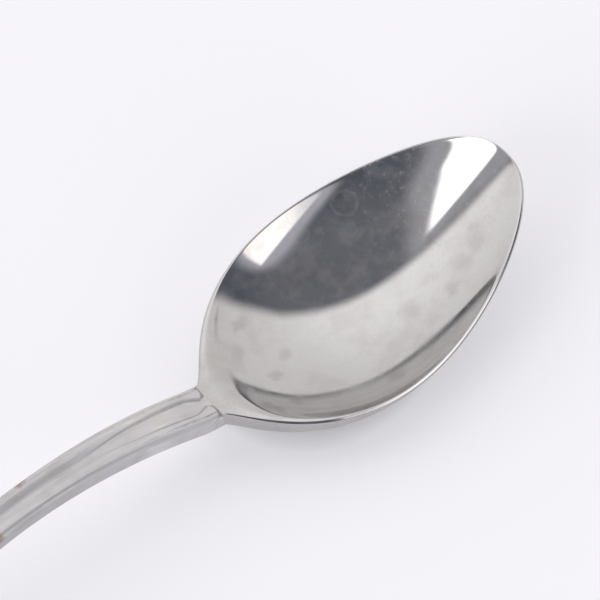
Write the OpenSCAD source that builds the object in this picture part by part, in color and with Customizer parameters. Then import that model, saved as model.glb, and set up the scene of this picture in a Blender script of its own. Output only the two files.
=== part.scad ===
// Teaspoon in stainless steel: a dished bowl with a short neck, and a patterned handle brazed to it.
// The spoon lies as it rests on a table: +X points to the tip of the bowl, +Z is up, and the table is z = 0.
// Shapes are worked out in spoon coordinates: u runs along the length with 0 at the bowl's widest line and
// grows towards the tip, y runs across, and h is the height above the rim at the widest line.

/* [Whole spoon] */
// Length from the tip of the bowl to the end of the handle
overall_length = 140; // [132:1:150]

/* [Bowl] */
// Width of the bowl at its widest line
bowl_width = 31.2; // [28:0.2:34]
// Distance from the widest line to the tip
bowl_front = 27.4; // [25:0.2:30]
// Distance from the widest line to the back of the bowl's oval
bowl_back = 23.4; // [22:0.2:25]
// Depth of the hollow below the rim
bowl_depth = 7.25; // [6:0.05:8.5]
// Height of the tip's rim above the rim at the widest line
tip_rise = 7.4; // [5:0.1:9]
// Height of the rim at the back of the oval above the rim at the widest line
heel_rise = 0.3; // [0:0.1:1]
// Width of the flat land on the rim
rim_land = 0.3; // [0.3:0.02:0.6]
// Height of the rim's outer edge from the tip to the widest line
rim_edge = 0.7; // [0.6:0.05:0.9]
// Thickness of the metal under the middle of the hollow
bowl_floor = 1.1; // [0.8:0.05:1.6]
// Rounding of the rim's upper edge, measured across the rim
rim_round = 0.24; // [0.18:0.01:0.3]
// Rounding of the rim's upper edge, measured down from the rim
rim_drop = 0.3; // [0.2:0.01:0.35]
// Rounding of the rim's lower edge
under_round = 0.1; // [0.06:0.01:0.12]
// Depth of the worn patches that the spoon rests on
worn_depth = 0.13; // [0.06:0.01:0.2]

/* [Neck] */
// Width of the neck where it meets the handle
neck_width = 5.6; // [5:0.1:5.8]
// Height of the neck's sides where it meets the handle
neck_thickness = 2.9; // [2.4:0.1:3.1]
// Distance from the back of the bowl's oval to the joint with the handle
neck_length = 0.4; // [0.2:0.1:1]
// Length over which the bowl's outline flows into the neck
neck_flow = 6.2; // [4:0.1:7]
// Length of flat web between the hollow and the back of the oval
web_length = 1.1; // [0.6:0.1:1.6]
// Length of the tang behind the joint
tang_length = 4.5; // [3:0.1:6]
// Width of the tang
tang_width = 2.4; // [1.6:0.1:3]
// Thickness of the tang
tang_thickness = 1; // [0.7:0.05:1.3]
// Gap that the braze fills round the tang
braze_gap = 0.05; // [0.03:0.01:0.1]

/* [Handle] */
// Width of the handle at the joint
stem_width = 6; // [5.8:0.1:6.6]
// Width of the handle at its waist
waist_width = 5; // [4.4:0.1:5.6]
// Distance from the joint to the waist
waist_at = 34; // [28:1:40]
// Greatest width of the rounded end
end_width = 12.5; // [10:0.5:15]
// Length of the rounded end behind its greatest width
end_round = 8; // [6:0.5:11]
// Width of the flat at the very end
end_flat = 1.6; // [1:0.1:2.4]
// Thickness of the handle at the joint
stem_thickness = 2.9; // [2.8:0.05:3.3]
// Thickness of the handle at its waist
waist_thickness = 2.45; // [2:0.05:2.7]
// Thickness of the handle at its end
end_thickness = 1.7; // [1.4:0.05:2.2]
// Distance from the joint to the place where the bend rises most steeply
bend_at = 3.2; // [2.4:0.2:4]
// Height of the handle's top there above the rim
bend_rise = 2.35; // [1.6:0.05:3]
// Distance from the joint to the crest of the arch
arch_at = 32.2; // [26:0.2:38]
// Height of the crest above the rim
arch_rise = 10.8; // [9:0.1:12]
// Rounding of the handle's long edges
stem_round = 0.5; // [0.3:0.05:0.7]
// Depth that the underside swells below its edges
belly_depth = 0.25; // [0.1:0.05:0.4]

/* [Handle pattern] */
// Height of the two side ribs above the panel
rib_height = 0.3; // [0.2:0.02:0.4]
// Half the width of the panel where it leaves the bowl between the ribs' noses
panel_neck = 0.45; // [0.35:0.05:0.6]
// Half the greatest width of the panel
panel_half = 1.3; // [1.1:0.05:1.4]
// Half the width of the panel's blunt point
panel_point = 0.3; // [0.2:0.02:0.4]
// Distance from the joint to the panel's greatest width
panel_full_at = 3.2; // [2.6:0.2:4]
// Distance from the joint to the panel's point
panel_end_at = 22; // [18:1:26]
// Width of the grooves
groove_width = 0.3; // [0.2:0.02:0.36]
// Depth of the groove beside the panel below the panel
groove_depth = 0.12; // [0.06:0.02:0.2]
// Depth of the fine outer groove
line_depth = 0.15; // [0.08:0.01:0.2]
// Distance of the fine outer groove from the handle's edge
line_inset = 0.72; // [0.66:0.02:0.8]
// Distance from the joint to where the fine outer groove has faded
line_end_at = 24; // [18:1:28]
// Depth of the valley between the two lobes behind the panel
valley_depth = 0.35; // [0.2:0.05:0.5]
// Distance from the joint to where the valley has faded
valley_end_at = 66; // [58:1:72]
// Length over which a rib's nose rises from the neck
nose_rise = 0.35; // [0.2:0.05:0.5]
// Rounding of a rib's nose seen from above
nose_round = 0.9; // [0.6:0.1:1.2]

/* [Hidden] */

// Powers of the bowl's outline near the tip and near the heel, and how flat its long curve is
tip_power = 0.44;
heel_power = 0.67;
oval_flatness = -0.145;
// Shares by which the hollow's walls are steeper than its floor's curve alone would make them
heel_fullness_share = 0.5;
tip_fullness_share = -0.38;
// Shares by which they are steeper still close to the rim, and the power of that steepness's fading inwards
heel_steep_share = 0.9;
tip_steep_share = -0.16;
steep_power = 4;
// Powers of the hollow's profile along its length, at the heel and at the tip
wall_heel_power = 1.72;
wall_tip_power = 0.6;
// Powers of the hollow's profile across its width, at the heel and at the tip
cross_heel_power = 1.6;
cross_tip_power = 2.2;
// Share of its half width over which the hollow's middle line is rounded
keel_share = 0.12;
// Share by which the hollow deepens from the widest line towards the tip
lean_share = 0.23;
// Most of the land that the rim's rounding may take
round_share = 0.9;
// Slopes of the handle's top where the bend is steepest and at its end
bend_slope = -0.59;
end_slope = 0.3;
// Power of the panel's taper
taper_power = 1.7;
// Share of the bowl's back where the rim's curve hands over to the neck's bend
rim_back_share = 0.86;
// Share of the way to the crown at which the lobes beside the valley are highest
lobe_share = 0.5;
// Softness of the hollow's edge all round, what the heel adds to it, and the power of its fading to the tip
foot_share = 0.012;
heel_foot_share = 0.05;
foot_power = 2;
// Softness of the underside's blend into the neck
belly_share = 0.06;

// Counts of the bowl's mesh: columns from tip to widest line, on to the neck, and across the joint
front_columns = 24;
back_columns = 22;
joint_columns = 3;
// Shares of the way from the middle to the hollow's edge at which the rings lie, above and below
hollow_shares = [0.09, 0.19, 0.3, 0.41, 0.52, 0.62, 0.72, 0.81, 0.89, 0.95, 1];
under_shares = [0.985, 0.94, 0.87, 0.78, 0.68, 0.57, 0.45, 0.32, 0.16];
// Steps of the rim's rounded upper edge
rim_steps = 3;
// Steps in which the lowest point under the bowl is sought
keel_steps = 60;
// Angle at the heel where the outline's columns turn on to the joint's face
joint_angle = 80;
// Power that gathers the neck's columns near the joint
gather_power = 6;

// Length by which a cut runs past what it cuts
overrun = 1;
// Step along the handle over which its slope is taken
slope_step = 0.1;
bowl_half = bowl_width / 2;
neck_half = neck_width / 2;
joint_back = bowl_back + neck_length;
bend_back = joint_back + bend_at;
arch_back = joint_back + arch_at;
handle_length = overall_length - bowl_front - joint_back;
widest_x = overall_length / 2 - bowl_front;
hollow_half = bowl_half - rim_land;
hollow_front = bowl_front - rim_land;
hollow_back = bowl_back - web_length;
under_depth = bowl_depth + bowl_floor - rim_edge;
rim_bend = (tip_rise / bowl_front + heel_rise / bowl_back) / (bowl_front + bowl_back);
rim_tilt = tip_rise / bowl_front - rim_bend * bowl_front;
rim_back = rim_back_share * bowl_back;
rim_height = -min([for (i = [0 : keel_steps]) bowl_under(-joint_back * i / keel_steps, 0)]) - worn_depth;
end_top = end_thickness * sqrt(1 + end_slope ^ 2) - rim_height - worn_depth;
neck_core = let (first = neck_half - flow_gain(0, neck_half, neck_flow))
    neck_half - flow_gain(0, first, neck_flow);

// Smooth helpers
function ease(t) = let (c = max(0, min(1, t))) c * c * (3 - 2 * c);
function soft(v, width) = (v + sqrt(v * v + width * width)) / 2;
function blend(first, last, share) = first + (last - first) * share;
function flow_gain(a, b, reach) = (max(reach - abs(a - b), 0) / reach) ^ 3 * reach / 6;
function flow_max(a, b, reach) = max(a, b) + flow_gain(a, b, reach);
function span(x, x0, h0, s0, x1, h1, s1) = let (run = x1 - x0, t = (x - x0) / run)
    (2 * t ^ 3 - 3 * t ^ 2 + 1) * h0 + (t ^ 3 - 2 * t ^ 2 + t) * run * s0
    + (3 * t ^ 2 - 2 * t ^ 3) * h1 + (t ^ 3 - t ^ 2) * run * s1;

// Outline of an egg-shaped oval: 0 at the widest line and 1 at its two ends
function egg(u, front, back) = let (
    quartic = oval_flatness / (front * back) ^ 2,
    ahead = 1 / front ^ 2 - quartic * front ^ 2,
    behind = 1 / back ^ 2 - quartic * back ^ 2,
    cubic = (ahead - behind) / (front + back),
    square = ahead - cubic * front)
    square * u ^ 2 + cubic * u ^ 3 + quartic * u ^ 4;
function egg_room(u, front, back) = max(0, 1 - egg(u, front, back));
function egg_half(u, half, front, back) = u >= front || u <= -back ? 0 : let (
    power = heel_power + (tip_power - heel_power) * (u + back) / (front + back))
    half * egg_room(u, front, back) ^ power;
function bowl_outline(u) = let (own = egg_half(u, bowl_half, bowl_front, bowl_back))
    u < 0 ? flow_max(own, neck_core, neck_flow) : own;

// Height of the rim, the neck and the handle's top along the middle
function rim_line(u) = rim_tilt * u + rim_bend * u ^ 2;
function top_line(u) =
    u >= -rim_back ? rim_line(u)
    : u >= -bend_back ? span(u, -bend_back, bend_rise, bend_slope,
        -rim_back, rim_line(-rim_back), rim_tilt - 2 * rim_bend * rim_back)
    : u >= -arch_back ? span(u, -arch_back, arch_rise, 0, -bend_back, bend_rise, bend_slope)
    : span(u, bowl_front - overall_length, end_top, end_slope, -arch_back, arch_rise, 0);
function top_slope(u) = (top_line(u + slope_step) - top_line(u - slope_step)) / (2 * slope_step);

// How high the hollow has risen on the way from its middle line, at 0, to its edge, at 1
function cross_rise(t, power) = ((t ^ 2 + keel_share ^ 2) ^ (power / 2) - keel_share ^ power)
    / ((1 + keel_share ^ 2) ^ (power / 2) - keel_share ^ power);
// How far along an oval a place lies, from 0 at the heel to 1 at the tip
function along(u, front, back) = max(0, min(1, (u + back) / (front + back)));
// How deep a point lies in a dish: 0 on its edge and 1 at its deepest
function dish(u, y, half, front, back, softness) = let (
    across = egg_half(u, half, front, back),
    share = along(u, front, back),
    wall_power = blend(wall_heel_power, wall_tip_power, share),
    cross_power = blend(cross_heel_power, cross_tip_power, share),
    room = egg_room(u, front, back) ^ wall_power,
    inside = across > 0 ? room * (1 - cross_rise(y / across, cross_power)) : 0,
    s = soft(max(inside, -softness), softness) - soft(0, softness),
    rest = max(0, 1 - s),
    full = 1 + blend(heel_fullness_share, tip_fullness_share, share) * rest
        + blend(heel_steep_share, tip_steep_share, share) * rest ^ steep_power)
    s * full * (1 + lean_share * u / front);
function foot_at(u) = foot_share + heel_foot_share * (1 - along(u, hollow_front, hollow_back)) ^ foot_power;
function bowl_top(u, y) = top_line(u)
    - bowl_depth * dish(u, y, hollow_half, hollow_front, hollow_back, foot_at(u));
function edge_height(u) = neck_thickness + (rim_edge - neck_thickness) * ease(1 + u / joint_back);
function bowl_under(u, y) = top_line(u) - edge_height(u)
    - under_depth * dish(u, y, bowl_half, bowl_front, bowl_back, belly_share);

// Columns round the bowl: each has an outer point on the outline and an inner point on the hollow's edge
function front_column(i) = let (a = 90 * i / front_columns)
    [[bowl_front * cos(a), bowl_outline(bowl_front * cos(a))],
     [hollow_front * cos(a), egg_half(hollow_front * cos(a), hollow_half, hollow_front, hollow_back)]];
function heel_point(a) = let (u = -hollow_back * sin(a))
    [u, egg_half(u, hollow_half, hollow_front, hollow_back)];
function back_column(i) = let (
    a = joint_angle * i / back_columns,
    neck_run = joint_back - hollow_back * sin(joint_angle),
    u = -hollow_back * sin(a) - neck_run * (i / back_columns) ^ gather_power)
    [[u, bowl_outline(u)], heel_point(a)];
function joint_column(i) = let (share = i / joint_columns)
    [[-joint_back, neck_half * (1 - share)], heel_point(joint_angle + (90 - joint_angle) * share)];
half_columns = concat(
    [for (i = [0 : front_columns - 1]) front_column(i)],
    [for (i = [0 : back_columns]) back_column(i)],
    [for (i = [1 : joint_columns]) joint_column(i)]);
first_joint = front_columns + back_columns;
last_column = len(half_columns) - 1;
column_count = 2 * last_column;
function mirrored(p) = [p[0], -p[1]];
function column(c) = c <= last_column ? half_columns[c]
    : [for (p = half_columns[column_count - c]) mirrored(p)];
function at_joint(c) = c >= first_joint && c <= column_count - first_joint;

function lift(p, h) = [p[0], p[1], h];
function top_point(p) = lift(p, bowl_top(p[0], p[1]));
function under_point(p) = lift(p, bowl_under(p[0], p[1]));
// One column of the skin, from near the middle of the hollow, over the rim, to near the middle below
function bowl_column(c) = let (
    pair = column(c),
    outer = pair[0],
    inner = pair[1],
    land = norm(outer - inner),
    inward = (inner - outer) / land,
    across = at_joint(c) ? 0 : min(rim_round, land * round_share),
    edge = outer + inward * across,
    above = top_line(outer[0]),
    tall = edge_height(outer[0]),
    drop = at_joint(c) ? tall / 3 : rim_drop,
    rise = at_joint(c) ? tall / 3 : under_round)
    concat(
        [for (s = hollow_shares) top_point(inner * s)],
        [for (i = [0 : rim_steps]) let (a = 90 * i / rim_steps)
            lift(edge - inward * across * sin(a), above - drop * (1 - cos(a)))],
        [lift(outer, above - tall + rise)],
        [lift(outer + inward * (at_joint(c) ? 0 : under_round), bowl_under(outer[0], outer[1]))],
        [for (s = under_shares) under_point(outer * s)]);
bowl_rows = len(hollow_shares) + rim_steps + 3 + len(under_shares);

// Skin of rings: points come column by column, and the two poles close the middle
function ring_index(c, r, columns, rows) = (c % columns) * rows + r;
function skin_faces(columns, rows) = [for (c = [0 : columns - 1], r = [0 : rows - 2], k = [0, 1])
    let (a = ring_index(c, r, columns, rows), b = ring_index(c + 1, r, columns, rows))
    k == 0 ? [a, b, b + 1] : [a, b + 1, a + 1]];
function cap_faces(columns, rows, top, bottom) = concat(
    [for (c = [0 : columns - 1])
        [top, ring_index(c + 1, 0, columns, rows), ring_index(c, 0, columns, rows)]],
    [for (c = [0 : columns - 1])
        [bottom, ring_index(c, rows - 1, columns, rows), ring_index(c + 1, rows - 1, columns, rows)]]);

// Handle: v is the distance behind the joint
function stem_half(v) =
    v <= waist_at ? span(v, 0, stem_width / 2, 0, waist_at, waist_width / 2, 0)
    : v <= handle_length - end_round
        ? span(v, waist_at, waist_width / 2, 0, handle_length - end_round, end_width / 2, 0)
    : let (t = (v - handle_length + end_round) / end_round, tip = end_flat / end_width)
        end_width / 2 * sqrt(1 - (1 - tip ^ 2) * t ^ 2);
function stem_slab(v) = v <= waist_at
    ? span(v, 0, stem_thickness, 0, waist_at, waist_thickness, 0)
    : span(v, waist_at, waist_thickness, 0, handle_length, end_thickness, 0);
function stem_tall(v) = stem_slab(v) * sqrt(1 + top_slope(-joint_back - v) ^ 2);
function panel_at(v) = v <= panel_full_at
    ? panel_neck + (panel_half - panel_neck) * ease(v / panel_full_at)
    : panel_point + (panel_half - panel_point)
        * (1 - min(1, (v - panel_full_at) / (panel_end_at - panel_full_at)) ^ taper_power);
function nose_start(y) = let (
    middle = (panel_neck + stem_width / 2) / 2,
    reach = (stem_width / 2 - panel_neck) / 2,
    off = min(1, abs(y - middle) / reach))
    nose_round * (1 - sqrt(1 - off ^ 2));
function nose_share(v, y) = ease((v - nose_start(y)) / nose_rise);
function valley_at(v) = valley_depth * ease((valley_end_at - v) / (valley_end_at - panel_end_at));

// Half of a handle section, from the middle of the top to the middle of the underside
function half_section(v) = let (
    w = stem_half(v),
    tall = stem_tall(v),
    room = min(1, w / (waist_width / 2)),
    p = panel_at(v) * room,
    r = stem_round * room,
    fine = groove_width * room,
    behind = ease((v - panel_full_at) / (panel_end_at - panel_full_at)),
    side = (p + fine) * (1 - behind) + w * lobe_share * behind,
    fade = 1 - ease(v / line_end_at),
    line = w - line_inset * w / (stem_width / 2),
    bed = behind * (rib_height - valley_at(v)) - (1 - behind) * groove_depth * nose_share(v, p),
    flat = behind * (rib_height - valley_at(v)),
    crown = (side + line - fine / 2) / 2,
    points = [
        [0, flat],
        [p * 2 / 3, flat],
        [p, flat],
        [(p + side) / 2, bed * (1 - behind) + behind * (flat + rib_height) / 2],
        [side, rib_height * nose_share(v, side)],
        [crown, rib_height * nose_share(v, crown)],
        [line - fine / 2, rib_height * nose_share(v, line - fine / 2)],
        [line, (rib_height - line_depth * fade) * nose_share(v, line)],
        [line + (w - r - line) * lobe_share, rib_height * nose_share(v, line + (w - r - line) * lobe_share)],
        [w - r, rib_height * (1 - lobe_share) * nose_share(v, w - r)],
        [w - r / 4, -r / 4],
        [w, -r],
        [w, r - tall],
        [w - r / 4, r / 4 - tall],
        [w - r, -tall],
        [w / 2, -tall - belly_depth / 2],
        [0, -tall - belly_depth]])
    points;
section_half_count = len(half_section(0));
section_count = 2 * section_half_count - 2;
function section(v) = let (
    half = half_section(v),
    u = -joint_back - v,
    level = top_line(u))
    [for (i = [0 : section_count - 1])
        let (q = i < section_half_count ? half[i] : half[section_count - i],
            side = i < section_half_count ? 1 : -1)
        [u, side * q[0], level + q[1]]];

// Stations along the handle: close at the noses, wide along the stem, close again round the end
nose_stations = 8;
stem_stations = 38;
round_stations = 9;
nose_reach = nose_round + nose_rise;
stations = concat(
    [for (i = [0 : nose_stations - 1]) nose_reach * i / nose_stations],
    [for (i = [0 : stem_stations - 1])
        nose_reach + (handle_length - end_round - nose_reach) * i / stem_stations],
    [for (i = [0 : round_stations]) handle_length - end_round + end_round * sin(90 * i / round_stations)]);
station_count = len(stations);
function section_middle(v) = [-joint_back - v, 0, top_line(-joint_back - v) - stem_tall(v) / 2];
// Sides of a loft of n sections of m points, closed by fans round a middle point at each end
function loft_faces(n, m) = concat(
    [for (s = [0 : n - 2], i = [0 : m - 1], k = [0, 1])
        let (a = s * m + i, b = s * m + (i + 1) % m)
        k == 0 ? [a, b + m, b] : [a, a + m, b + m]],
    [for (i = [0 : m - 1]) [n * m, i, (i + 1) % m]],
    [for (i = [0 : m - 1]) [n * m + 1, (n - 1) * m + (i + 1) % m, (n - 1) * m + i]]);

// Middle of the neck's thickness at the joint, and the slope that the tang follows into the handle
tang_level = top_line(-joint_back) - neck_thickness / 2;
tang_slope = (top_line(-joint_back - tang_length) - stem_tall(tang_length) / 2 - tang_level) / tang_length;
module tang_bar(front, back, grow) {
    start = -joint_back + front;
    finish = -joint_back - back;
    low = tang_level - tang_thickness / 2 - grow;
    high = tang_level + tang_thickness / 2 + grow;
    rotate([90, 0, 0])
        linear_extrude(height = tang_width + 2 * grow, center = true)
            polygon([
                [start, low - tang_slope * front],
                [start, high - tang_slope * front],
                [finish, high + tang_slope * back],
                [finish, low + tang_slope * back]]);
}

// Everything below the table's level, for the worn patches
module below_table() {
    translate([-overall_length, -bowl_width, -rim_height - bowl_depth])
        cube([2 * overall_length, 2 * bowl_width, bowl_depth]);
}

module bowl() {
    points = concat(
        [for (c = [0 : column_count - 1]) each bowl_column(c)],
        [[0, 0, bowl_top(0, 0)], [0, 0, bowl_under(0, 0)]]);
    poles = column_count * bowl_rows;
    color("gainsboro")
        translate([widest_x, 0, rim_height])
            difference() {
                union() {
                    polyhedron(points = points, faces = concat(
                        skin_faces(column_count, bowl_rows),
                        cap_faces(column_count, bowl_rows, poles, poles + 1)));
                    tang_bar(tang_thickness / 2, tang_length, 0);
                }
                below_table();
            }
}

module handle() {
    points = concat([for (v = stations) each section(v)],
        [section_middle(0), section_middle(handle_length)]);
    color("silver")
        translate([widest_x, 0, rim_height])
            difference() {
                polyhedron(points = points, faces = loft_faces(station_count, section_count));
                tang_bar(overrun, tang_length + braze_gap, braze_gap);
                below_table();
            }
}

bowl();
handle();
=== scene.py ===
import math
import bpy
import numpy as np
from mathutils import Matrix, Vector


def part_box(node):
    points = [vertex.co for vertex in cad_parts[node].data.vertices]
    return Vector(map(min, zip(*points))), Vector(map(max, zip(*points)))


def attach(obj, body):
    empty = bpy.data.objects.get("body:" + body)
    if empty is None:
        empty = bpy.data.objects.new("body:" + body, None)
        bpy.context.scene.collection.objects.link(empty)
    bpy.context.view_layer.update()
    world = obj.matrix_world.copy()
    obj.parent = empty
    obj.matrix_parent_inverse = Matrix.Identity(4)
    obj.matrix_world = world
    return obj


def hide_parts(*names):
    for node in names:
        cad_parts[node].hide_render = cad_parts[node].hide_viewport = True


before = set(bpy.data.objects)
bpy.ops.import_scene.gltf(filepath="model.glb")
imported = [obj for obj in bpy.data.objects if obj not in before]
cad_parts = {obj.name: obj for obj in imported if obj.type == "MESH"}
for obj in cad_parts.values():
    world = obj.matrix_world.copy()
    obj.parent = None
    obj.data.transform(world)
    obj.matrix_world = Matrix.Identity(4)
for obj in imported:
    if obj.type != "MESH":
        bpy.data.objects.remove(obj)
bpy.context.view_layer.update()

MM = 0.001
TINY = 1e-9
SLOPE_STEP = 0.1 * MM

# The whole spoon, from the frame: +X to the tip, +Z up, and the table at z = 0
BOWL_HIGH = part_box("bowl")[1]
HANDLE_LOW, HANDLE_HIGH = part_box("handle")
OVERALL_LENGTH = BOWL_HIGH.x - HANDLE_LOW.x

# Bowl
BOWL_HALF = BOWL_HIGH.y
BOWL_FRONT = 27.4 * MM
BOWL_BACK = 23.4 * MM
BOWL_DEPTH = 7.25 * MM
BOWL_FLOOR = 1.1 * MM
TIP_RISE = 7.4 * MM
HEEL_RISE = 0.3 * MM
RIM_LAND = 0.3 * MM
RIM_EDGE = 0.7 * MM
WORN_DEPTH = 0.13 * MM

# Edges of the bowl: how far the rim's round edge reaches in and down, how much of it is a flat bevel, and
# how it narrows towards the neck
RIM_ROUND_ACROSS = 0.29 * MM
RIM_ROUND_DOWN = 0.34 * MM
RIM_BEVEL = 0.88
RIM_LAND_SHARE = 0.96
RIM_NECK_SHARE = 0.3
RIM_NECK_FADE = 6.5 * MM
UNDER_ROUND = 0.1 * MM
JOINT_EDGE = 0.02 * MM

# How the bowl's outline and hollow curve
TIP_POWER = 0.44
HEEL_POWER = 0.67
OVAL_FLATNESS = -0.145
HEEL_FULLNESS = 0.5
TIP_FULLNESS = -0.38
HEEL_STEEP = 0.9
TIP_STEEP = -0.16
STEEP_POWER = 4
WALL_HEEL_POWER = 1.72
WALL_TIP_POWER = 0.6
CROSS_HEEL_POWER = 1.6
CROSS_TIP_POWER = 2.2
KEEL = 0.12
LEAN = 0.23
RIM_BACK_SHARE = 0.86
FOOT = 0.012
HEEL_FOOT = 0.05
FOOT_POWER = 2
BELLY = 0.06

# Neck
NECK_HALF = 2.8 * MM
NECK_THICKNESS = 2.9 * MM
NECK_FLOW = 6.2 * MM
WEB_LENGTH = 1.1 * MM
JOINT_BACK = BOWL_BACK + 0.4 * MM

# Handle
STEM_HALF = 3.0 * MM
WAIST_HALF = 2.5 * MM
WAIST_AT = 34.0 * MM
END_HALF = HANDLE_HIGH.y
END_ROUND = 8.0 * MM
END_FLAT = 0.8 * MM
STEM_THICKNESS = 2.9 * MM
WAIST_THICKNESS = 2.45 * MM
END_THICKNESS = 1.7 * MM
BEND_BACK = JOINT_BACK + 3.2 * MM
BEND_RISE = 2.35 * MM
BEND_SLOPE = -0.59
ARCH_BACK = JOINT_BACK + 32.2 * MM
ARCH_RISE = 10.8 * MM
END_SLOPE = 0.3
STEM_ROUND = 0.8 * MM
BELLY_DEPTH = 0.25 * MM
HANDLE_LENGTH = OVERALL_LENGTH - BOWL_FRONT - JOINT_BACK

# Pattern pressed into the handle, with places measured from the joint
RIB_HEIGHT = 0.3 * MM
PANEL_NECK = 0.45 * MM
PANEL_HALF = 1.3 * MM
PANEL_FULL_AT = 3.2 * MM
PANEL_END_AT = 22.0 * MM
GROOVE_WIDTH = 0.3 * MM
GROOVE_FOOT_SHARE = 0.4
GROOVE_DEPTH = 0.12 * MM
LINE_WIDTH = 0.16 * MM
LINE_DEPTH = 0.1 * MM
LINE_SHARE = 0.72
LINE_END_AT = 24.0 * MM
VALLEY_DEPTH = 0.35 * MM
VALLEY_END_AT = 66.0 * MM
LOBE_SHARE = 0.55
NOSE_RISE = 0.35 * MM
NOSE_ROUND = 1.4 * MM
TAPER_POWER = 1.7

# Painted shade in the pattern's grooves and at the foot of its noses
CREASE_SHADE_WIDTH = 0.13 * MM
NOSE_SHADE_WIDTH = 0.208 * MM
PANEL_SHADE = 0.25
LINE_SHADE = 0.5

# The place of the widest line in the frame, and the height of the rim there
WIDEST_X = BOWL_HIGH.x - BOWL_FRONT
RIM_HEIGHT = BOWL_HIGH.z - TIP_RISE

# Sizes that follow from the ones above
HOLLOW_HALF = BOWL_HALF - RIM_LAND
HOLLOW_FRONT = BOWL_FRONT - RIM_LAND
HOLLOW_BACK = BOWL_BACK - WEB_LENGTH
UNDER_DEPTH = BOWL_DEPTH + BOWL_FLOOR - RIM_EDGE
RIM_BEND = (TIP_RISE / BOWL_FRONT + HEEL_RISE / BOWL_BACK) / (BOWL_FRONT + BOWL_BACK)
RIM_TILT = TIP_RISE / BOWL_FRONT - RIM_BEND * BOWL_FRONT
RIM_BACK = RIM_BACK_SHARE * BOWL_BACK
END_TOP = END_THICKNESS * math.sqrt(1 + END_SLOPE ** 2) - RIM_HEIGHT - WORN_DEPTH
END_WIDEST_AT = HANDLE_LENGTH - END_ROUND
NOSE_REACH = NOSE_ROUND + NOSE_RISE


def ease(t):
    c = np.clip(t, 0, 1)
    return c * c * (3 - 2 * c)


def blend(first, last, share):
    return first + (last - first) * share


def soft(v, width):
    """The positive part of a value, with a soft corner at 0."""
    return (v + np.sqrt(v * v + width * width)) / 2


def line_at(offset, width):
    """1 on a line, falling to 0 about two widths away from it."""
    return np.exp(-(offset / width) ** 2)


def flow_gain(a, b, reach):
    return (np.maximum(reach - np.abs(a - b), 0) / reach) ** 3 * reach / 6


def flow_max(a, b, reach):
    """The larger of two values, with one flowing into the other."""
    return np.maximum(a, b) + flow_gain(a, b, reach)


def span(x, x0, h0, s0, x1, h1, s1):
    """Cubic from height h0 and slope s0 at x0 to height h1 and slope s1 at x1."""
    run = x1 - x0
    t = (x - x0) / run
    return ((2 * t ** 3 - 3 * t ** 2 + 1) * h0 + (t ** 3 - 2 * t ** 2 + t) * run * s0
            + (3 * t ** 2 - 2 * t ** 3) * h1 + (t ** 3 - t ** 2) * run * s1)


# Behind the oval, the flow widens this half-width to the neck's own
NECK_CORE = NECK_HALF - flow_gain(0, NECK_HALF - flow_gain(0, NECK_HALF, NECK_FLOW), NECK_FLOW)


# Outline of the bowl. In all of these u runs along the spoon with 0 at the widest line, and y runs across
def egg_room(u, front, back):
    quartic = OVAL_FLATNESS / (front * back) ** 2
    ahead = 1 / front ** 2 - quartic * front ** 2
    behind = 1 / back ** 2 - quartic * back ** 2
    cubic = (ahead - behind) / (front + back)
    square = ahead - cubic * front
    return np.maximum(0, 1 - square * u ** 2 - cubic * u ** 3 - quartic * u ** 4)


def egg_half(u, half, front, back):
    power = HEEL_POWER + (TIP_POWER - HEEL_POWER) * (u + back) / (front + back)
    inside = (u < front) & (u > -back)
    return np.where(inside, half * egg_room(u, front, back) ** power, 0)


def bowl_outline(u):
    own = egg_half(u, BOWL_HALF, BOWL_FRONT, BOWL_BACK)
    return np.where(u < 0, flow_max(own, NECK_CORE, NECK_FLOW), own)


# Heights, measured from the rim at the widest line
def top_line(u):
    """Height of the rim, the neck and the handle's top along the middle."""
    u = np.asarray(u, float)
    rim = RIM_TILT * u + RIM_BEND * u ** 2
    rim_end = -RIM_TILT * RIM_BACK + RIM_BEND * RIM_BACK ** 2
    rim_end_slope = RIM_TILT - 2 * RIM_BEND * RIM_BACK
    neck = span(u, -BEND_BACK, BEND_RISE, BEND_SLOPE, -RIM_BACK, rim_end, rim_end_slope)
    rise = span(u, -ARCH_BACK, ARCH_RISE, 0, -BEND_BACK, BEND_RISE, BEND_SLOPE)
    fall = span(u, BOWL_FRONT - OVERALL_LENGTH, END_TOP, END_SLOPE, -ARCH_BACK, ARCH_RISE, 0)
    back = np.where(u >= -BEND_BACK, neck, np.where(u >= -ARCH_BACK, rise, fall))
    return np.where(u >= -RIM_BACK, rim, back)


def top_slope(u):
    return (top_line(u + SLOPE_STEP) - top_line(u - SLOPE_STEP)) / (2 * SLOPE_STEP)


def along(u, front, back):
    return np.clip((u + back) / (front + back), 0, 1)


def cross_rise(t, power):
    """How high the hollow has risen on the way from its middle line, at 0, to its edge, at 1."""
    low = KEEL ** power
    return ((t ** 2 + KEEL ** 2) ** (power / 2) - low) / ((1 + KEEL ** 2) ** (power / 2) - low)


def dish(u, y, half, front, back, softness):
    """Depth of a bowl-shaped hollow, with 0 at its edge and about 1 at its deepest."""
    across = egg_half(u, half, front, back)
    share = along(u, front, back)
    room = egg_room(u, front, back) ** blend(WALL_HEEL_POWER, WALL_TIP_POWER, share)
    rise = cross_rise(y / np.maximum(across, TINY), blend(CROSS_HEEL_POWER, CROSS_TIP_POWER, share))
    inside = np.where(across > 0, room * (1 - rise), 0)
    s = soft(np.maximum(inside, -softness), softness) - soft(0, softness)
    rest = np.maximum(0, 1 - s)
    full = (1 + blend(HEEL_FULLNESS, TIP_FULLNESS, share) * rest
            + blend(HEEL_STEEP, TIP_STEEP, share) * rest ** STEEP_POWER)
    return s * full * (1 + LEAN * u / front)


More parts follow.
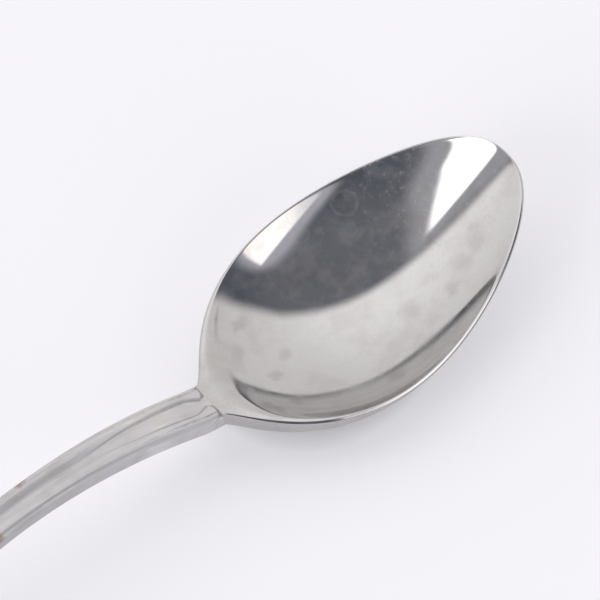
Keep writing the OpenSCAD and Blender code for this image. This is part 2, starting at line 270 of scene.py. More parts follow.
def bowl_top(u, y):
    foot = FOOT + HEEL_FOOT * (1 - along(u, HOLLOW_FRONT, HOLLOW_BACK)) ** FOOT_POWER
    return top_line(u) - BOWL_DEPTH * dish(u, y, HOLLOW_HALF, HOLLOW_FRONT, HOLLOW_BACK, foot)


def edge_height(u):
    return blend(NECK_THICKNESS, RIM_EDGE, ease(1 + u / JOINT_BACK))


def bowl_under(u, y):
    return (top_line(u) - edge_height(u)
            - UNDER_DEPTH * dish(u, y, BOWL_HALF, BOWL_FRONT, BOWL_BACK, BELLY))


def handle_top(u, _y):
    return top_line(u)


def add_mesh(name, points, faces, sharp_rings=()):
    """A smooth mesh from points in spoon coordinates, worn flat at the table and sharp along some rings."""
    moved = np.asarray(points) + [WIDEST_X, 0, RIM_HEIGHT]
    moved[:, 2] = np.maximum(moved[:, 2], 0)
    mesh = bpy.data.meshes.new(name)
    mesh.from_pydata(moved.tolist(), [], faces)
    mesh.validate()
    mesh.polygons.foreach_set("use_smooth", [True] * len(mesh.polygons))
    sharp = set(frozenset(pair) for ring in sharp_rings for pair in zip(ring, ring[1:] + ring[:1]))
    for edge in mesh.edges:
        if frozenset(edge.vertices) in sharp:
            edge.use_edge_sharp = True
    piece = bpy.data.objects.new(name, mesh)
    bpy.context.scene.collection.objects.link(piece)
    return piece


# Bowl: columns round the outline, each from the middle of the hollow over the rim to the middle below
FRONT_COLUMNS = 90
BACK_COLUMNS = 90
JOINT_COLUMNS = 12
JOINT_ANGLE = 80
GATHER_POWER = 6
HOLLOW_ROWS = 80
HOLLOW_GATHER = 0.6
LAND_SHARES = (0.3, 0.6, 0.9, 0.99)
SIDE_SHARES = (0.33, 0.67)
UNDER_ROWS = 44
UNDER_GATHER = 1.15
ROUND_STEPS = 8


def outer_point(u):
    return np.array([u, float(bowl_outline(u))])


def hollow_point(u):
    return np.array([u, float(egg_half(u, HOLLOW_HALF, HOLLOW_FRONT, HOLLOW_BACK))])


def half_columns():
    """Outer and inner points of the columns on one side, from the tip to the middle of the joint."""
    columns = []
    for i in range(FRONT_COLUMNS):
        c = math.cos(math.pi / 2 * i / FRONT_COLUMNS)
        columns.append((outer_point(BOWL_FRONT * c), hollow_point(HOLLOW_FRONT * c), False))
    last = math.radians(JOINT_ANGLE)
    gap = JOINT_BACK - HOLLOW_BACK * math.sin(last)
    for i in range(BACK_COLUMNS + 1):
        share = i / BACK_COLUMNS
        inner = hollow_point(-HOLLOW_BACK * math.sin(last * share))
        columns.append((outer_point(inner[0] - gap * share ** GATHER_POWER), inner, i == BACK_COLUMNS))
    for i in range(1, JOINT_COLUMNS + 1):
        share = i / JOINT_COLUMNS
        inner = hollow_point(-HOLLOW_BACK * math.sin(blend(last, math.pi / 2, share)))
        columns.append((np.array([-JOINT_BACK, NECK_HALF * (1 - share)]), inner, True))
    return columns


def edge_rounds(u, land, at_joint):
    """How far the rim's round edge reaches in and down at u, and the radius of the edge below it."""
    if at_joint:
        return JOINT_EDGE, JOINT_EDGE, JOINT_EDGE
    fade = blend(RIM_NECK_SHARE, 1, float(ease((u + JOINT_BACK) / RIM_NECK_FADE)))
    return min(RIM_ROUND_ACROSS * fade, land * RIM_LAND_SHARE), RIM_ROUND_DOWN * fade, UNDER_ROUND


def top_rows(inner, edge):
    """From the middle of the hollow to its edge, and across the land to the rim's round edge."""
    rows = []
    for share in np.linspace(0, 1, HOLLOW_ROWS + 1)[1:] ** HOLLOW_GATHER:
        p = inner * share
        rows.append([*p, float(bowl_top(*p))])
    for share in LAND_SHARES:
        p = blend(inner, edge, share)
        rows.append([*p, float(top_line(p[0]))])
    return rows


def rim_rows(edge, inward, across, down, top):
    """Over the rim's round edge."""
    rows = []
    for k in range(ROUND_STEPS + 1):
        share = k / ROUND_STEPS
        turn = math.pi / 2 * share
        p = edge - inward * across * blend(math.sin(turn), share, RIM_BEVEL)
        rows.append([*p, top - down * blend(1 - math.cos(turn), share, RIM_BEVEL)])
    return rows


def under_rows(edge, inward, radius, low):
    """Round the lower edge, and to the middle of the underside."""
    rows = []
    lift = float(bowl_under(*edge)) - low
    for k in range(ROUND_STEPS + 1):
        share = k / ROUND_STEPS
        turn = math.pi / 2 * share
        p = edge - inward * radius * math.cos(turn)
        rows.append([*p, low + radius * (1 - math.sin(turn)) + lift * ease(share)])
    for share in 1 - np.linspace(0, 1, UNDER_ROWS + 1)[1:-1] ** UNDER_GATHER:
        p = edge * share
        rows.append([*p, float(bowl_under(*p))])
    return rows


def bowl_column(outer, inner, at_joint):
    land = np.linalg.norm(outer - inner)
    inward = (inner - outer) / land
    top = float(top_line(outer[0]))
    low = top - float(edge_height(outer[0]))
    across, down, radius = edge_rounds(outer[0], land, at_joint)
    rim_edge = outer + inward * across
    side = [[*outer, blend(top - down, low + radius, share)] for share in SIDE_SHARES]
    return (top_rows(inner, rim_edge) + rim_rows(rim_edge, inward, across, down, top)
            + side + under_rows(outer + inward * radius, inward, radius, low))


def build_bowl():
    half = half_columns()
    full = half + [(outer * [1, -1], inner * [1, -1], at_joint) for outer, inner, at_joint in half[-2:0:-1]]
    columns = [bowl_column(*ends) for ends in full]
    count, rows = len(columns), len(columns[0])
    points = [p for column in columns for p in column]
    points += [[0, 0, float(bowl_top(0, 0))], [0, 0, float(bowl_under(0, 0))]]
    faces = []
    for c in range(count):
        a, b = c * rows, (c + 1) % count * rows
        faces += [(a + r, a + r + 1, b + r + 1, b + r) for r in range(rows - 1)]
        faces += [(count * rows, a, b), (count * rows + 1, b + rows - 1, a + rows - 1)]
    return add_mesh("bowl_skin", points, faces)


# Handle: stations from the joint, where v is 0, to the end, each a closed section
NOSE_STATIONS = 26
STEM_STATIONS = 210
STEM_GATHER = 1.3
END_STATIONS = 34
TOP_STEPS = 110
SIDE_STEPS = 5
UNDER_STEPS = 24


def stem_half(v):
    front = span(v, 0, STEM_HALF, 0, WAIST_AT, WAIST_HALF, 0)
    back = span(v, WAIST_AT, WAIST_HALF, 0, END_WIDEST_AT, END_HALF, 0)
    t = np.clip((v - END_WIDEST_AT) / END_ROUND, 0, 1)
    tip = END_FLAT / END_HALF
    end = END_HALF * np.sqrt(1 - (1 - tip ** 2) * t ** 2)
    return np.where(v <= WAIST_AT, front, np.where(v <= END_WIDEST_AT, back, end))


def stem_tall(v):
    front = span(v, 0, STEM_THICKNESS, 0, WAIST_AT, WAIST_THICKNESS, 0)
    back = span(v, WAIST_AT, WAIST_THICKNESS, 0, HANDLE_LENGTH, END_THICKNESS, 0)
    return np.where(v <= WAIST_AT, front, back) * np.sqrt(1 + top_slope(-JOINT_BACK - v) ** 2)


def panel_side(v):
    """Half the width of the sunk panel."""
    opening = blend(PANEL_NECK, PANEL_HALF, ease(v / PANEL_FULL_AT))
    closing = np.clip((v - PANEL_FULL_AT) / (PANEL_END_AT - PANEL_FULL_AT), 0, 1)
    half = np.where(v <= PANEL_FULL_AT, opening, PANEL_HALF * (1 - closing ** TAPER_POWER))
    return half * np.minimum(1, stem_half(v) / WAIST_HALF)


def past_panel(v):
    return ease((v - PANEL_FULL_AT) / (PANEL_END_AT - PANEL_FULL_AT))


def line_left(v):
    return 1 - ease(v / LINE_END_AT)


def past_nose(v, y):
    """How far a place on a rib lies behind the rib's rounded front."""
    middle = (PANEL_NECK + STEM_HALF) / 2
    reach = (STEM_HALF - PANEL_NECK) / 2
    off = np.minimum(1, np.abs(np.abs(y) - middle) / reach)
    return v - NOSE_ROUND * (1 - np.sqrt(1 - off ** 2))


def relief(v, y):
    """Height of the handle's face above the panel's level."""
    w = stem_half(v)
    side = np.abs(y)
    inner = panel_side(v)
    rib = RIB_HEIGHT * ease((side - inner) / GROOVE_WIDTH)
    foot = GROOVE_DEPTH * line_at(side - inner, GROOVE_FOOT_SHARE * GROOVE_WIDTH)
    cut = LINE_DEPTH * line_at(side - w * LINE_SHARE, LINE_WIDTH / 2) * line_left(v)
    front = (rib - foot - cut) * ease(past_nose(v, y) / NOSE_RISE)
    valley = VALLEY_DEPTH * ease((VALLEY_END_AT - v) / (VALLEY_END_AT - PANEL_END_AT))
    back = RIB_HEIGHT - valley * ease(1 - side / (LOBE_SHARE * w))
    return blend(front, back, past_panel(v))


def painted_crease_shade(v, y):
    """How much painted shade darkens the pattern's grooves and the foot of its noses, from 0 to 1."""
    side = np.abs(y)
    nose = np.where(side > PANEL_NECK, line_at(past_nose(v, y), NOSE_SHADE_WIDTH), 0)
    panel = PANEL_SHADE * line_at(side - panel_side(v), CREASE_SHADE_WIDTH) * (1 - past_panel(v))
    cut = LINE_SHADE * line_at(side - stem_half(v) * LINE_SHARE, CREASE_SHADE_WIDTH) * line_left(v)
    return np.maximum(nose, ease(past_nose(v, y) / NOSE_RISE) * np.maximum(panel, cut))


def half_section(v):
    """From the middle of the top to the middle of the underside, on the +Y side."""
    w = float(stem_half(v))
    tall = float(stem_tall(v))
    r = STEM_ROUND * min(1, w / WAIST_HALF)
    ys = np.linspace(0, w - r, TOP_STEPS)
    hs = relief(v, ys)
    shoulder = float(hs[-1])
    points = list(np.stack([ys, hs], -1))
    for k in range(1, SIDE_STEPS + 1):
        turn = math.pi / 2 * k / SIDE_STEPS
        points.append([w - r + r * math.sin(turn), (shoulder + r) * math.cos(turn) - r])
    for k in range(SIDE_STEPS + 1):
        turn = math.pi / 2 * k / SIDE_STEPS
        points.append([w - r + r * math.cos(turn), r - tall - r * math.sin(turn)])
    for k in range(1, UNDER_STEPS + 1):
        y = (w - r) * (1 - k / UNDER_STEPS)
        points.append([y, -tall - BELLY_DEPTH * (1 - (y / (w - r)) ** 2)])
    return np.array(points)


def handle_stations():
    near = np.linspace(0, NOSE_REACH, NOSE_STATIONS, endpoint=False)
    stem = blend(NOSE_REACH, END_WIDEST_AT, np.linspace(0, 1, STEM_STATIONS, endpoint=False) ** STEM_GATHER)
    end = END_WIDEST_AT + END_ROUND * np.sin(np.linspace(0, math.pi / 2, END_STATIONS))
    return np.concatenate([near, stem, end])


def section_faces(first, second):
    """Faces between two closed sections, each given by its vertices."""
    return list(zip(first, first[1:] + first[:1], second[1:] + second[:1], second))


def build_handle():
    points, faces, rings, crease_shade = [], [], [], []
    for v in handle_stations():
        half = half_section(v)
        section = np.concatenate([half, half[-2:0:-1] * [-1, 1]])
        level = float(top_line(-JOINT_BACK - v))
        rings.append(list(range(len(points), len(points) + len(section))))
        points += [[-JOINT_BACK - v, y, level + h] for y, h in section]
        crease_shade += np.where(section[:, 1] > -STEM_ROUND, painted_crease_shade(v, section[:, 0]), 0).tolist()
    for first, second in zip(rings, rings[1:]):
        faces += section_faces(first, second)
    for ring, v in ((rings[0][::-1], 0), (rings[-1], HANDLE_LENGTH)):
        middle = len(points)
        points.append([-JOINT_BACK - v, 0, float(top_line(-JOINT_BACK - v) - stem_tall(v) / 2)])
        crease_shade.append(0)
        faces += [(middle, here, there) for here, there in zip(ring, ring[1:] + ring[:1])]
    skin = add_mesh("handle_skin", points, faces, (rings[0], rings[-1]))
    skin.data.attributes.new("painted_crease_shade", "FLOAT", "POINT").data.foreach_set("value", crease_shade)
    return skin


# Shader nodes. A noise is given by its scale, its detail and, where that isn't the usual one, its roughness
def new_material(name):
    material = bpy.data.materials.new(name)
    material.use_nodes = True
    return material, material.node_tree.nodes, material.node_tree.links


def noise(nodes, links, vector, scale, detail, roughness=0.55):
    node = nodes.new("ShaderNodeTexNoise")
    node.inputs["Scale"].default_value = scale
    node.inputs["Detail"].default_value = detail
    node.inputs["Roughness"].default_value = roughness
    links.new(vector, node.inputs["Vector"])
    return node.outputs["Fac"]


def ramp(nodes, links, value, low, high, out_low=0.0, out_high=1.0):
    node = nodes.new("ShaderNodeMapRange")
    node.interpolation_type = "SMOOTHSTEP"
    settings = {"From Min": low, "From Max": high, "To Min": out_low, "To Max": out_high}
    for socket, number in settings.items():
        node.inputs[socket].default_value = number
    links.new(value, node.inputs["Value"])
    return node.outputs["Result"]


def mixed(nodes, links, share, first, second):
    """A blend of two colours, each given by its numbers or by a socket."""
    node = nodes.new("ShaderNodeMix")
    node.data_type = "RGBA"
    links.new(share, node.inputs["Factor"])
    for socket, colour in ((node.inputs[6], first), (node.inputs[7], second)):
        if isinstance(colour, tuple):
            socket.default_value = (*colour, 1)
        else:
            links.new(colour, socket)
    return node.outputs[2]


def math_node(nodes, links, operation, first, second):
    node = nodes.new("ShaderNodeMath")
    node.operation = operation
    for socket, value in zip(node.inputs, (first, second)):
        if isinstance(value, (int, float)):
            socket.default_value = value
        else:
            links.new(value, socket)
    return node.outputs["Value"]


def tinted(nodes, links, share, colour, low, high):
    """A colour times a grey that goes from low to high."""
    grey = ramp(nodes, links, share, 0, 1, low, high)
    both = nodes.new("ShaderNodeVectorMath")
    both.operation = "SCALE"
    links.new(colour, both.inputs[0])
    links.new(grey, both.inputs["Scale"])
    return both.outputs["Vector"]


def stretched(nodes, links, scale):
    place = nodes.new("ShaderNodeTexCoord")
    mapping = nodes.new("ShaderNodeMapping")
    mapping.inputs["Scale"].default_value = scale
    links.new(place.outputs["Object"], mapping.inputs["Vector"])
    return mapping.outputs["Vector"]


def x_share(nodes, links, place, low, high, out_low=0.0, out_high=1.0):
    """From out_low to out_high as the place along the frame's X goes from low to high."""
    part = nodes.new("ShaderNodeSeparateXYZ")
    links.new(place, part.inputs["Vector"])
    return ramp(nodes, links, part.outputs["X"], low, high, out_low, out_high)


# Marks of use
MARK_NOISE = (620, 3.0)
MARK_WOBBLE = 3.2 * MM
MARK_REACH = (0.2, 1.4)
DROP_WOBBLE = 0.8 * MM
DROP_EDGE = 0.3 * MM


def marks_on(surface, spots):
    """Marks given in mm along and across the spoon and by radius, as points of the frame on a surface."""
    return [((WIDEST_X + u * MM, y * MM, RIM_HEIGHT + float(surface(u * MM, y * MM))), radius * MM)
            for u, y, radius in spots]


STAINS = marks_on(bowl_top, ((-15.2, 4.7, 1.4), (-9.9, 1.5, 1.1), (-13.1, -0.5, 1.0), (-12.1, 7.7, 1.0),
                             (18.0, -4.6, 2.2), (15.1, -5.4, 1.9), (11.9, -7.0, 1.4), (6.8, -4.5, 1.7),
                             (-17.7, -4.5, 1.1), (-17.0, -5.8, 0.9), (-14.1, -6.0, 1.0), (-1.6, -11.6, 1.3)))
DRIED_DROPS = marks_on(bowl_top, ((9.4, 11.4, 1.7), (2.4, 12.4, 1.1), (17.2, 5.4, 0.9)))
WORN_HEEL = marks_on(bowl_top, ((-18.5, -0.4, 1.7),))
RUST_SPECKS = marks_on(handle_top, ((-52.5, 2.1, 0.75), (-59.0, -2.4, 0.8)))
YELLOWED = marks_on(handle_top, ((-32.0, 0.9, 1.7), (-35.0, 0.6, 1.5)))


def mark_distances(nodes, links, place, spots, wobble):
    """Distances from the middles of the marks, made uneven by a noise, each with its mark's radius."""
    uneven = math_node(nodes, links, "SUBTRACT", noise(nodes, links, place, *MARK_NOISE), 0.5)
    shift = math_node(nodes, links, "MULTIPLY", uneven, wobble)
    away = []
    for middle, radius in spots:
        apart = nodes.new("ShaderNodeVectorMath")
        apart.operation = "DISTANCE"
        apart.inputs[1].default_value = middle
        links.new(place, apart.inputs[0])
        away.append((math_node(nodes, links, "ADD", apart.outputs["Value"], shift), radius))
    return away


def largest(nodes, links, shares):
    most = shares[0]
    for share in shares[1:]:
        most = math_node(nodes, links, "MAXIMUM", most, share)
    return most


def soft_spots(nodes, links, place, spots, strength=1.0):
    """Up to the given strength in the middle of each mark, fading out round it."""
    near, far = MARK_REACH
    shares = [ramp(nodes, links, away, radius * near, radius * far, strength, 0)
              for away, radius in mark_distances(nodes, links, place, spots, MARK_WOBBLE)]
    return largest(nodes, links, shares)


def drop_rings(nodes, links, place, spots, strength):
    """Up to the given strength on a ring round each mark's middle."""
    rings = []
    for away, radius in mark_distances(nodes, links, place, spots, DROP_WOBBLE):
        off = math_node(nodes, links, "ABSOLUTE", math_node(nodes, links, "SUBTRACT", away, radius), 0)
        rings.append(ramp(nodes, links, off, 0, DROP_EDGE, strength, 0))
    return largest(nodes, links, rings)


# Bowl's steel: a mirror with brownish blots and stains, and with films that take some of its shine.
# A range of a noise is where its ramp begins and ends
BOWL_STEEL = (0.508, 0.5, 0.498)
BLOT_STEEL = (0.465, 0.451, 0.441)
STAIN_STEEL = (0.39, 0.373, 0.362)
BLOT_NOISE = (200, 5.0, 0.6)
BLOT_RANGE = (0.45, 0.68)
STAIN_STRENGTH = 0.6
HAZE_NOISE = (320, 4.0)
HAZE_RANGE = (0.35, 0.75)
BOWL_ROUGHNESS = (0.05, 0.1)
FILM_NOISE = (330, 6.0, 0.65)
FILM_RANGE = (0.42, 0.64)
FILM_STRENGTH = 0.13
DROP_STRENGTH = 0.1
WORN_STRENGTH = 0.42
SPECKLE_NOISE = (1500, 3.0)
SPECKLE_RANGE = (0.58, 0.68)
SPECKLE_STRENGTH = 0.2
SPECKLE_FROM, SPECKLE_FULL = 4 * MM, 17 * MM


def lost_shine(nodes, links, place):
    """How much less metallic the bowl is, for its films, drops, worn heel and the speckles near its tip."""
    speckles = noise(nodes, links, place, *SPECKLE_NOISE)
    speckled = ramp(nodes, links, speckles, *SPECKLE_RANGE, 0, SPECKLE_STRENGTH)
    near_tip = x_share(nodes, links, place, WIDEST_X + SPECKLE_FROM, WIDEST_X + SPECKLE_FULL)
    film = noise(nodes, links, place, *FILM_NOISE)
    lost = math_node(nodes, links, "MULTIPLY", speckled, near_tip)
    for more in (ramp(nodes, links, film, *FILM_RANGE, 0, FILM_STRENGTH),
                 drop_rings(nodes, links, place, DRIED_DROPS, DROP_STRENGTH),
                 soft_spots(nodes, links, place, WORN_HEEL, WORN_STRENGTH)):
        lost = math_node(nodes, links, "ADD", lost, more)
    return lost


def polished_steel():
    material, nodes, links = new_material("polished_steel")
    shader = nodes["Principled BSDF"]
    place = stretched(nodes, links, (1, 1, 1))
    blot = ramp(nodes, links, noise(nodes, links, place, *BLOT_NOISE), *BLOT_RANGE)
    clean = mixed(nodes, links, blot, BOWL_STEEL, BLOT_STEEL)
    stain = soft_spots(nodes, links, place, STAINS, STAIN_STRENGTH)
    links.new(mixed(nodes, links, stain, clean, STAIN_STEEL), shader.inputs["Base Color"])
    haze = noise(nodes, links, place, *HAZE_NOISE)
    links.new(ramp(nodes, links, haze, *HAZE_RANGE, *BOWL_ROUGHNESS), shader.inputs["Roughness"])
    metallic = math_node(nodes, links, "SUBTRACT", 1.0, lost_shine(nodes, links, place))
    links.new(metallic, shader.inputs["Metallic"])
    return material


# Handle's steel: satin, with fine lines along it, painted glints, painted shade in its pattern's creases, and
# painted light that makes it lighter near the neck and darker away from it
HANDLE_STEEL = (0.59, 0.578, 0.587)
CLOUD_STEEL = (0.545, 0.529, 0.527)
SCRATCH_STEEL = (0.49, 0.48, 0.48)
GLINT_STEEL = (0.74, 0.73, 0.735)
YELLOW_STEEL = (0.6, 0.568, 0.52)
RUST = (0.4, 0.335, 0.27)
CREASE_SHADE_COLOUR = (0.22, 0.2, 0.2)
SATIN_METALLIC = 0.7
LINE_STRETCH = (0.06, 1, 0.06)
STREAK_NOISE = (2000, 4.0)
SCRATCH_RANGE = (0.55, 0.7)
SCRATCH_STRENGTH = 0.5
GLINT_NOISE = (2600, 2.0)
GLINT_RANGE = (0.6, 0.7)
GLINT_STRENGTH = 0.6
CLOUD_NOISE = (240, 3.0)
CLOUD_RANGE = (0.4, 0.7)
YELLOW_STRENGTH = 0.5
SHADE_PATCH_NOISE = (900, 3.0)
SHADE_PATCH_RANGE = (0.35, 0.65)
SHADE_PATCH_LEAST = 0.15
PAINTED_FADE_FROM, PAINTED_FADE_TO = 24 * MM, 52 * MM
NECK_PAINTED_LIGHT, END_PAINTED_SHADE = 1.08, 0.9
STREAK_RANGE = (0.3, 0.7)
SATIN_ROUGHNESS = (0.4, 0.55)
BUMP_STRENGTH = 0.3
BUMP_DEPTH = 0.02 * MM


def satin_colour(nodes, links, place, lines, streak):
    cloud = ramp(nodes, links, noise(nodes, links, place, *CLOUD_NOISE), *CLOUD_RANGE)
    face = mixed(nodes, links, cloud, HANDLE_STEEL, CLOUD_STEEL)
    scratch = ramp(nodes, links, streak, *SCRATCH_RANGE, 0, SCRATCH_STRENGTH)
    face = mixed(nodes, links, scratch, face, SCRATCH_STEEL)
    # Painted highlight: bright streaks painted into the base colour as glints
    glints = noise(nodes, links, lines, *GLINT_NOISE)
    glint = ramp(nodes, links, glints, *GLINT_RANGE, 0, GLINT_STRENGTH)
    face = mixed(nodes, links, glint, face, GLINT_STEEL)
    yellow = soft_spots(nodes, links, place, YELLOWED, YELLOW_STRENGTH)
    face = mixed(nodes, links, yellow, face, YELLOW_STEEL)
    return mixed(nodes, links, soft_spots(nodes, links, place, RUST_SPECKS), face, RUST)


def pattern_shade(nodes, links, place):
    """The painted crease shade that the handle's mesh carries, made patchy."""
    crease_shade = nodes.new("ShaderNodeAttribute")
    crease_shade.attribute_name = "painted_crease_shade"
    patches = ramp(nodes, links, noise(nodes, links, place, *SHADE_PATCH_NOISE), *SHADE_PATCH_RANGE, SHADE_PATCH_LEAST, 1)
    return math_node(nodes, links, "MULTIPLY", crease_shade.outputs["Fac"], patches)


def satin_steel():
    material, nodes, links = new_material("satin_steel")
    shader = nodes["Principled BSDF"]
    shader.inputs["Metallic"].default_value = SATIN_METALLIC
    lines = stretched(nodes, links, LINE_STRETCH)
    streak = noise(nodes, links, lines, *STREAK_NOISE)
    place = stretched(nodes, links, (1, 1, 1))
    face = satin_colour(nodes, links, place, lines, streak)
    # Painted shade: the pattern's creases darken towards a near-black colour
    face = mixed(nodes, links, pattern_shade(nodes, links, place), face, CREASE_SHADE_COLOUR)
    # Painted light: the base colour is made lighter near the neck and darker towards the end
    painted_fade = x_share(nodes, links, place, WIDEST_X - PAINTED_FADE_TO, WIDEST_X - PAINTED_FADE_FROM, 1, 0)
    links.new(tinted(nodes, links, painted_fade, face, NECK_PAINTED_LIGHT, END_PAINTED_SHADE), shader.inputs["Base Color"])
    links.new(ramp(nodes, links, streak, *STREAK_RANGE, *SATIN_ROUGHNESS), shader.inputs["Roughness"])
    bump = nodes.new("ShaderNodeBump")
    bump.inputs["Strength"].default_value = BUMP_STRENGTH
    bump.inputs["Distance"].default_value = BUMP_DEPTH
    links.new(streak, bump.inputs["Height"])
    links.new(bump.outputs["Normal"], shader.inputs["Normal"])
    return material


# Table: wide and pale. Its glow dims close round the spoon, a painted contact shadow
TABLE_HALF = 2.5
TABLE_DROP = 0.02 * MM
TABLE_COLOUR = (0.955, 0.95, 0.985)
TABLE_ROUGHNESS = 0.9
TABLE_SPECULAR = 0.1
TABLE_GLOW = (0.99, 0.98, 1.0)
TABLE_GLOW_SHARE = 0.38
CONTACT_SHADOW_REACH = 4.5 * MM
CONTACT_SHADOW_SAMPLES = 8


def table_white():
    """A pale table that the camera and the steel see a little lighter, except close round the spoon, where
    ambient occlusion dims the glow as a painted contact shadow.
    """
    material, nodes, links = new_material("table_white")
    shader = nodes["Principled BSDF"]
    shader.inputs["Base Color"].default_value = (*TABLE_COLOUR, 1)
    shader.inputs["Roughness"].default_value = TABLE_ROUGHNESS
    shader.inputs["Specular IOR Level"].default_value = TABLE_SPECULAR
    # Painted contact shadow: ambient occlusion dims the glow near the spoon
    contact_shadow = nodes.new("ShaderNodeAmbientOcclusion")
    contact_shadow.samples = CONTACT_SHADOW_SAMPLES
    contact_shadow.inputs["Color"].default_value = (*TABLE_GLOW, 1)
    contact_shadow.inputs["Distance"].default_value = CONTACT_SHADOW_REACH
    glow = nodes.new("ShaderNodeEmission")
    links.new(contact_shadow.outputs["Color"], glow.inputs["Color"])
    path = nodes.new("ShaderNodeLightPath")
    seen = math_node(nodes, links, "MAXIMUM", path.outputs["Is Camera Ray"], path.outputs["Is Glossy Ray"])
    both = nodes.new("ShaderNodeMixShader")
    links.new(math_node(nodes, links, "MULTIPLY", seen, TABLE_GLOW_SHARE), both.inputs["Fac"])
    links.new(shader.outputs["BSDF"], both.inputs[1])
    links.new(glow.outputs["Emission"], both.inputs[2])
    links.new(both.outputs["Shader"], nodes["Material Output"].inputs["Surface"])
    return material


def build_table():
    corners = [(x * TABLE_HALF, y * TABLE_HALF, -TABLE_DROP) for x, y in ((-1, -1), (1, -1), (1, 1), (-1, 1))]
    mesh = bpy.data.meshes.new("table")
    mesh.from_pydata(corners, [], [(0, 1, 2, 3)])
    table = bpy.data.objects.new("table", mesh)
    bpy.context.scene.collection.objects.link(table)
    table.data.materials.append(table_white())


# Room: light on the far side and dim on the near side. The light side lies beyond either of two planes, each
# given by its normal's azimuth and elevation and by the reach of its soft edge
SIDE_PLANE = (65, 5)
SIDE_EDGE = (0.085, 0.265)
HEEL_PLANE = (57.8, -12.8)
HEEL_EDGE = (-0.07, 0.1)
# The light side is brightest towards one direction and falls off evenly away from it
BRIGHTEST = (179, 64)
BRIGHT_RANGE = (-0.2, 1.0)
WALL_LOW = (1.01, 0.985, 0.985)
WALL_HIGH = (1.44, 1.415, 1.425)
# The dim side lightens with height
DIM_RANGE = (0.5, 0.85)
DIM_LOW = (0.15, 0.163, 0.2)
DIM_HIGH = (0.23, 0.238, 0.268)
# What the camera sees beyond the table
BACKDROP = (0.9, 0.895, 0.935)
# Corners of the softbox and the window, and of the weaker light round each of them, as azimuth and
# elevation seen from the spoon
SOFTBOX_CORNERS = ((168.5, -2), (201, -2), (200, 38), (181, 48.3), (160, 50.5))
SOFTBOX_LIGHT = (3.0, 3.0, 3.0)
SOFTBOX_SOFTNESS = 0.03
SOFTBOX_GLOW_CORNERS = ((148, -2), (214, -2), (213, 44), (183, 57), (150, 56))
SOFTBOX_GLOW_LIGHT = (0.56, 0.56, 0.6)
WINDOW_CORNERS = ((-109, 8), (-57, 8), (-57, 38), (-74, 38), (-90, 33), (-109, 19))
WINDOW_LIGHT = (2.1, 2.05, 2.02)
WINDOW_FAR_LIGHT = (1.25, 1.25, 1.3)
WINDOW_FADE_TO = (5, 0)
WINDOW_FADE = (-0.3, 0.05)
WINDOW_SOFTNESS = 0.022
WINDOW_GLOW_CORNERS = ((-110, 4), (-52, 4), (-52, 40), (-62, 47), (-79, 48), (-97, 41), (-112, 28))
WINDOW_GLOW_LIGHT = (0.68, 0.68, 0.77)
GLOW_SOFTNESS = 0.09
UPWARDS = (0, 90)


def aim(azimuth, elevation):
    a, e = math.radians(azimuth), math.radians(elevation)
    return Vector((math.cos(a) * math.cos(e), math.sin(a) * math.cos(e), math.sin(e)))


def towards(nodes, links, direction, other, low, high):
    """0 to 1 as a direction's cosine with another one goes from low to high."""
    dot = nodes.new("ShaderNodeVectorMath")
    dot.operation = "DOT_PRODUCT"
    dot.inputs[1].default_value = other
    links.new(direction, dot.inputs[0])
    return ramp(nodes, links, dot.outputs["Value"], low, high)


def patch_share(nodes, links, direction, corners, softness):
    """1 inside a patch of the room whose corners run anticlockwise as the spoon sees them."""
    share = None
    for here, there in zip(corners, corners[1:] + corners[:1]):
        across = aim(*here).cross(aim(*there)).normalized()
        side = towards(nodes, links, direction, across, -softness, softness)
        share = side if share is None else math_node(nodes, links, "MULTIPLY", share, side)
    return share


def room_walls(nodes, links, direction):
    """The light side and the dim side."""
    height = towards(nodes, links, direction, aim(*UPWARDS), *DIM_RANGE)
    dim = mixed(nodes, links, height, DIM_LOW, DIM_HIGH)
    nearness = towards(nodes, links, direction, aim(*BRIGHTEST), *BRIGHT_RANGE)
    light = mixed(nodes, links, nearness, WALL_LOW, WALL_HIGH)
    light_side = math_node(nodes, links, "MAXIMUM",
                           towards(nodes, links, direction, aim(*SIDE_PLANE), *SIDE_EDGE),
                           towards(nodes, links, direction, aim(*HEEL_PLANE), *HEEL_EDGE))
    return mixed(nodes, links, light_side, dim, light)


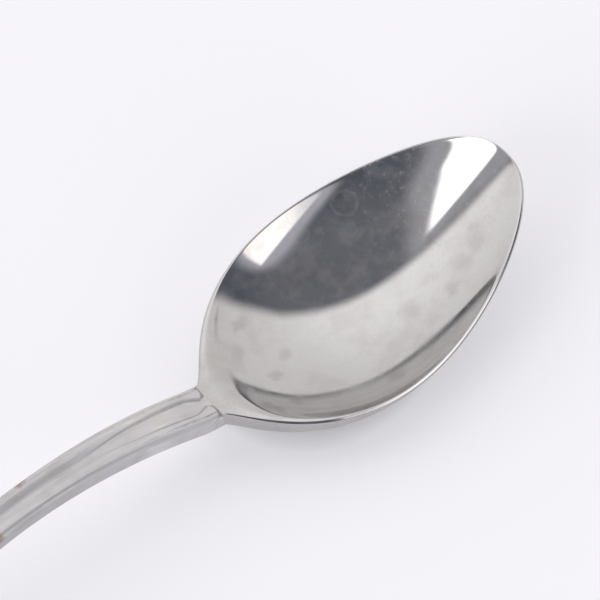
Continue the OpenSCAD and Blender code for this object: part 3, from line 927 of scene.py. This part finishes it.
def build_room():
    world = bpy.data.worlds.new("room")
    bpy.context.scene.world = world
    world.use_nodes = True
    nodes, links = world.node_tree.nodes, world.node_tree.links
    direction = nodes.new("ShaderNodeTexCoord").outputs["Generated"]
    room = room_walls(nodes, links, direction)
    near_end = towards(nodes, links, direction, aim(*WINDOW_FADE_TO), *WINDOW_FADE)
    window = mixed(nodes, links, near_end, WINDOW_FAR_LIGHT, WINDOW_LIGHT)
    for corners, light, softness in ((WINDOW_GLOW_CORNERS, WINDOW_GLOW_LIGHT, GLOW_SOFTNESS),
                                     (SOFTBOX_GLOW_CORNERS, SOFTBOX_GLOW_LIGHT, GLOW_SOFTNESS),
                                     (WINDOW_CORNERS, window, WINDOW_SOFTNESS),
                                     (SOFTBOX_CORNERS, SOFTBOX_LIGHT, SOFTBOX_SOFTNESS)):
        room = mixed(nodes, links, patch_share(nodes, links, direction, corners, softness), room, light)
    path = nodes.new("ShaderNodeLightPath")
    seen = mixed(nodes, links, path.outputs["Is Camera Ray"], room, BACKDROP)
    links.new(seen, nodes["Background"].inputs["Color"])


# Camera, as fitted to the outlines in the photograph
CAMERA_AZIMUTH = 49.70
CAMERA_ELEVATION = 60.0
CAMERA_DISTANCE = 512.88 * MM
CAMERA_ROLL = -0.7557
CAMERA_NEAR = 0.01
FOCAL_SHARE = 6.5653
SENSOR = 36.0
TARGET = Vector((WIDEST_X - 4.971 * MM, 3.891 * MM, RIM_HEIGHT))


def build_camera():
    data = bpy.data.cameras.new("camera")
    data.sensor_width = SENSOR
    data.sensor_fit = "HORIZONTAL"
    data.lens = FOCAL_SHARE * SENSOR
    data.clip_start = CAMERA_NEAR
    camera = bpy.data.objects.new("camera", data)
    bpy.context.scene.collection.objects.link(camera)
    back = aim(CAMERA_AZIMUTH + 180, CAMERA_ELEVATION)
    right = (-back).cross(aim(*UPWARDS)).normalized()
    up = right.cross(-back)
    roll = math.radians(CAMERA_ROLL)
    across = math.cos(roll) * right + math.sin(roll) * up
    above = math.cos(roll) * up - math.sin(roll) * right
    turn = Matrix((across, above, back)).transposed().to_4x4()
    camera.matrix_world = Matrix.Translation(TARGET + back * CAMERA_DISTANCE) @ turn
    bpy.context.scene.camera = camera


build_camera()
build_table()
build_room()

bowl_skin = build_bowl()
bowl_skin.data.materials.append(polished_steel())
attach(bowl_skin, "root")
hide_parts("bowl")

handle_skin = build_handle()
handle_skin.data.materials.append(satin_steel())
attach(handle_skin, "root")
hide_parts("handle")

bpy.context.scene.view_settings.view_transform = "Standard"
